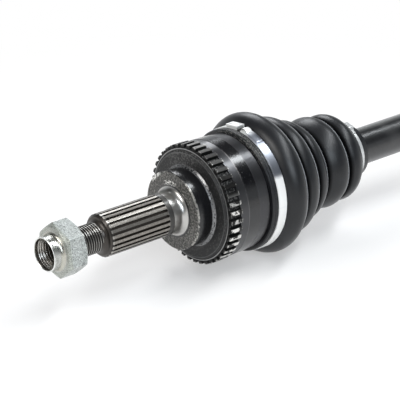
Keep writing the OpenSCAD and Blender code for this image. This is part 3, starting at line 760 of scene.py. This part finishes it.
lip_start, folds_start, folds_end, boot_end = 56.3, 69.3, 163.5, 177.7
wide_seat, small_seat, bell_hole, bar_hole = 46.2, 20.8, 43.35, 14.6
outer_valleys = [(folds_start, wide_seat), boot_point(0.192, 0.815), boot_point(0.385, 0.58),
                 boot_point(0.555, 0.245), boot_point(0.788, 0.185),
                 (folds_end, small_seat + 1.2)]
outer_crests = [boot_point(0.134, 1.29), boot_point(0.34, 0.965), boot_point(0.51, 0.685),
                boot_point(0.745, 0.58), boot_point(0.917, 0.512)]
outer_skin, inner_skin = [], []
last_fold = len(outer_crests) - 1
for k, crest in enumerate(outer_crests):
    shape = (outer_valleys[k], outer_valleys[k + 1], crest)
    outer_skin += mould_line(open_fold(*shape, k > 0, k < last_fold))
    inner_skin += fold_inside(*shape)


def boot_rubber(name, crests, valleys):
    """Satin moulded rubber, with pale crest lines that are wear and a painted highlight, and
    painted shade, near-black, down in the valleys.
    """
    finish = Finish(name, (0.0065, 0.0070, 0.0085), 0.38, 0.0, 1000, 45, 0.2)
    finish.speckled(0.25, 0.7, 1.3)
    finish.coat = 0.8
    finish.shader.inputs["Coat Roughness"].default_value = 0.38
    finish.shader.inputs["Specular IOR Level"].default_value = 0.06
    # Each valley band is painted near-black without coat: painted shade.
    for start, end in valleys:
        painted_valley_shade = finish.band(start + 1.0, end + 2.8, 1.2)
        finish.paint(painted_valley_shade, (0.0006, 0.0006, 0.0008), 0.8, coat=0.0)
    # Each crest gets a thin pale line: wear, and a painted highlight along the crest edge.
    for x in crests:
        worn_and_lit_crest = finish.band(x - 0.6, x + 0.5, 0.15)
        finish.paint(worn_and_lit_crest, (0.27, 0.275, 0.285), 0.5)
    return finish


outer_rubber = boot_rubber("moulded_rubber", [86.2, 105.4, 120.4, 144.4, 161.0],
                           [(86.2, 91.4), (105.4, 109.1), (120.4, 125.2), (144.4, 147.0)])
grime = outer_rubber.grain.outputs
lip_dirt = and_where(outer_rubber, outer_rubber.band(56, 61.4, 0.2),
                     outer_rubber.band(70, 132, 10, "Angle"),
                     outer_rubber.ramp(grime["Speckle"], 0.64, 0.74))
outer_rubber.paint(lip_dirt, (0.22, 0.215, 0.20), 0.6)
outer_rubber.done()
lip_beads = [(0, -0.5), (0.4, 0.05), (0.9, 0.4), (1.6, 0.45), (2.1, 0), (2.5, -0.1), (3.0, 0.3),
             (3.6, 0.4), (4.0, 0), (4.4, -0.1), (4.8, 0.25), (5.1, 0.1), (5.2, -0.05)]
outer_boot = turned(
    "outer_boot_skin",
    [(lip_start, bell_hole)]
    + [(lip_start + x, wide_seat + r) for x, r in lip_beads]
    + [(folds_start - 0.4, wide_seat - 0.05)]
    + outer_skin
    + [(folds_end + 0.9, small_seat + 0.4), (folds_end + 1.7, small_seat),
       (folds_end + 8.7, small_seat), (folds_end + 9.2, small_seat - 0.2),
       (boot_end - 0.6, small_seat - 0.2), (boot_end - 0.2, small_seat - 0.4),
       (boot_end, small_seat - 0.8), (boot_end, bar_hole), (boot_end - 1.5, bar_hole),
       (boot_end - 3.5, bar_hole + 1.9), (folds_end + 0.7, bar_hole + 1.9)]
    + inner_skin[::-1]
    + [(67.6, bell_hole), (lip_start, bell_hole)],
)
outer_boot.data.materials.append(outer_rubber.material)
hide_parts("outer_boot")
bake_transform(outer_boot)

# The wide clamp on the bell: a stainless band pulled round twice where its ends overlap, and
# locked by a folded buckle near the top.
stainless = Finish("stainless_band", (0.74, 0.75, 0.77), 0.34, 1.0, 1500, 120, 0.10)
stainless.speckled(0.12, 0.85, 1.12)
by_buckle = stainless.band(60, 103, 4, "Angle")
stainless.paint(by_buckle, (0.82, 0.82, 0.80), 0.45, 0.4)
# A darker blue-grey band painted on the upper near side of the band: a painted reflection.
painted_blue_reflection = stainless.band(104, 151, 3, "Angle")
stainless.paint(painted_blue_reflection, (0.36, 0.38, 0.43))
# The slot by the buckle is painted near-black: painted shade in the slot.
painted_slot_shade = and_where(stainless, stainless.band(61, 68, 0.1), stainless.band(89.4, 93.8, 0.3, "Angle"))
stainless.paint(painted_slot_shade, (0.008, 0.008, 0.008), 0.6, 0.1)
# The lower side of the band is painted near-white and less metallic: a painted reflection of the
# white floor.
for low, high in ((152, 181), (-181, -120)):
    painted_floor_reflection = stainless.band(low, high, 2, "Angle")
    stainless.paint(painted_floor_reflection, (0.90, 0.89, 0.87), 0.45, 0.35)
stainless.done()


def band_round(name, seat, low, high, thick=1.0):
    """A flat band with rolled edges, round the seat of a boot."""
    return turned(name, [(low, seat), (low, seat + thick * 0.6), (low + 0.25, seat + thick),
                         (high - 0.25, seat + thick), (high, seat + thick * 0.6), (high, seat),
                         (low, seat)])


def curved_strip(name, path, low, high, thick):
    """A strip across the shaft that follows a path of [angle in degrees, radius]."""
    bpy.ops.object.select_all(action="DESELECT")
    bpy.ops.mesh.primitive_grid_add(x_subdivisions=len(path) - 1, y_subdivisions=1, size=0.01)
    piece = bpy.context.object
    piece.name = name
    places = []
    for x in (low, high):
        for angle, radius in path:
            turn = math.radians(angle)
            places.append((x, radius * math.cos(turn), radius * math.sin(turn)))
    place_corners(piece, places)
    bpy.ops.object.mode_set(mode="EDIT")
    bpy.ops.mesh.select_all(action="SELECT")
    bpy.ops.mesh.normals_make_consistent(inside=False)
    bpy.ops.object.mode_set(mode="OBJECT")
    wall = piece.modifiers.new("wall", "SOLIDIFY")
    wall.thickness = thick / 1000
    wall.offset = 0
    bpy.ops.object.modifier_apply(modifier="wall")
    edge = piece.modifiers.new("edge", "BEVEL")
    edge.width = 0.00018
    edge.segments = 2
    edge.angle_limit = math.radians(60)
    bpy.ops.object.modifier_apply(modifier="edge")
    bpy.ops.object.shade_smooth_by_angle(angle=math.radians(40))
    return piece


band_low, band_high = 61.5, 69.0
wide_band = band_round("wide_band", wide_seat, band_low, band_high)
tail_path = [(94.5 + k * 1.5, 47.5 + (0.05 if k else -0.2)) for k in range(15)]
tail = curved_strip("band_tail", tail_path, band_low + 0.5, band_high - 0.5, 0.6)
bpy.ops.object.select_all(action="DESELECT")
bpy.ops.mesh.primitive_cube_add(size=1, location=(0.06525, 0, 0.04815))
buckle = bpy.context.object
buckle.name = "band_buckle"
buckle.scale = (0.0074, 0.0125, 0.0021)
bpy.ops.object.transform_apply(location=True, scale=True)
bpy.ops.object.mode_set(mode="EDIT")
bpy.ops.mesh.select_mode(type="FACE")
bpy.ops.mesh.select_all(action="DESELECT")
bpy.ops.object.mode_set(mode="OBJECT")
for face in buckle.data.polygons:
    face.select = face.normal.z > 0.9
bpy.ops.object.mode_set(mode="EDIT")
bpy.ops.mesh.inset(thickness=0.0016)
bpy.ops.mesh.extrude_region_move(TRANSFORM_OT_translate={"value": (0, 0, 0.0006)})
bpy.ops.object.mode_set(mode="OBJECT")
edge = buckle.modifiers.new("edge", "BEVEL")
edge.width = 0.0004
edge.segments = 2
bpy.ops.object.modifier_apply(modifier="edge")
buckle.rotation_euler = (math.radians(-8), 0, 0)
bpy.ops.object.transform_apply(rotation=True)
bpy.ops.object.shade_smooth_by_angle(angle=math.radians(30))
lock = curved_strip("band_lock", [(93.2, 47.6), (94.0, 48.3), (95.0, 49.0), (97.0, 49.3),
                                  (99.0, 49.0), (100.4, 48.2), (101.5, 47.75)],
                    62.6, 67.9, 0.5)
wide_clamp = joined("wide_clamp", [wide_band, tail, buckle, lock])
wide_clamp.data.materials.append(stainless.material)
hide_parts("outer_boot_clamp_large")
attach(wide_clamp, "bell")

# The narrow clamps: matte stainless rings, each drawn tight by pinching its hollow ear, whose
# two feet slide together while its top keeps a small dip.
def ear_path(seat, at, band=1.0):
    """The ear seen along the shaft: two feet, two drawn-in sides and a dipped top."""
    sketch = [(-7.2, 0.35), (-5.4, 0.5), (-4.4, 0.75), (-3.5, 1.5), (-3.1, 2.6), (-3.4, 3.3),
              (-2.9, 3.75), (-1.7, 3.8), (-0.7, 3.45), (0.7, 3.45), (1.7, 3.8), (2.9, 3.75),
              (3.4, 3.3), (3.1, 2.6), (3.5, 1.5), (4.4, 0.75), (5.4, 0.5), (7.2, 0.35)]
    return [(at + math.degrees(across / seat), seat + band * 0.9 + up * 0.8)
            for across, up in sketch]


narrow = Finish("narrow_stainless_band", (0.62, 0.62, 0.61), 0.42, 0.5, 1500, 120, 0.10)
narrow.speckled(0.12, 0.85, 1.12)
narrow.done()
inner_start, inner_end, adaptor_seat = 328.0, 427.0, 43.4
clearance, ear_angle, narrow_width = 0.3, 102, 6.5
for node, body, seat, low, width in (
    ("outer_boot_clamp_small", "shaft", small_seat, folds_end + 2, narrow_width),
    ("inner_boot_clamp_small", "shaft", small_seat, inner_start + 5.75, narrow_width),
    ("inner_boot_clamp_large", "housing", adaptor_seat, inner_end - 13, 8.5),
):
    seat, high = seat + clearance, low + width
    ring = band_round(node + "_band", seat, low, high)
    ear = curved_strip(node + "_ear", ear_path(seat, ear_angle), low + 0.2, high - 0.2, 0.8)
    clamp = joined(node + "_pinched", [ring, ear])
    clamp.data.materials.append(narrow.material)
    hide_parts(node)
    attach(clamp, body)

# The gearbox-side boot: the same rubber, five folds that widen toward the housing. The real
# boot bends with the joint and is pushed along by its plunge; here it is drawn in two halves
# that meet in the middle valley, which is wide enough to clear the bar in the bend.
inner_valleys = [(inner_start + x, small_seat + r) for x, r in
                 ((15, 0.2), (29, 3.0), (43, 6.5), (57, 10.7), (71, 14.0))]
inner_valleys.append((inner_end - 15, adaptor_seat))
inner_rises = [(2, 7.5), (2, 7.5), (2, 7.5), (2, 7), (1, 3)]


def boot_half(first, last):
    """The outer and inner skins of the folds from one valley to another."""
    out, back = [], []
    for k in range(first, last):
        (ax, ar), (bx, br), (ux, ur) = inner_valleys[k], inner_valleys[k + 1], inner_rises[k]
        crest = ((ax + bx) / 2 + ux, (ar + br) / 2 + ur)
        out += mould_line(open_fold((ax, ar), (bx, br), crest, k > first, k < last - 1))
        back += fold_inside((ax, ar), (bx, br), crest)
    return out, back[::-1]


narrow_out, narrow_back = boot_half(0, 3)
narrow_half = turned(
    "inner_boot_narrow_half",
    [(inner_start + 4, bar_hole + 1.9), (inner_start + 1.5, bar_hole), (inner_start, bar_hole),
     (inner_start, small_seat - 0.7), (inner_start + 0.5, small_seat - 0.2),
     (inner_start + 5, small_seat - 0.2), (inner_start + 5.5, small_seat),
     (inner_start + 12.5, small_seat), (inner_start + 13, small_seat + 0.4)]
    + narrow_out + narrow_back
    + [(inner_start + 14.5, bar_hole + 2.2), (inner_start + 4, bar_hole + 1.9)],
)
wide_out, wide_back = boot_half(3, 5)
wide_half = turned(
    "inner_boot_wide_half",
    wide_out
    + [(inner_end - 4, adaptor_seat), (inner_end - 3.5, adaptor_seat + 0.6),
       (inner_end - 0.5, adaptor_seat + 0.6), (inner_end, adaptor_seat),
       (inner_end, adaptor_seat - 2.8), (inner_end - 16, adaptor_seat - 2.8)]
    + wide_back + [inner_valleys[3]],
)
# Where the pale crest lines, wear and painted highlight, and the painted valley shade lie on this
# boot.
pale_crests_at = [(a[0] + b[0]) / 2 + rise[0] + 4
             for a, b, rise in zip(inner_valleys, inner_valleys[1:], inner_rises)]
dark_at = [(x - 0.8, x + 1.5) for x, r in inner_valleys[1:5]]
inner_rubber = boot_rubber("moulded_rubber_inner", pale_crests_at, dark_at)
inner_rubber.done()
for half, near, far, begin, finish in (
    (narrow_half, "shaft", "inner_pivot", 0.345, 0.384),
    (wide_half, "inner_pivot", "housing", 0.386, 0.409),
):
    half.data.materials.append(inner_rubber.material)
    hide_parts("inner_boot")
    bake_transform(half)
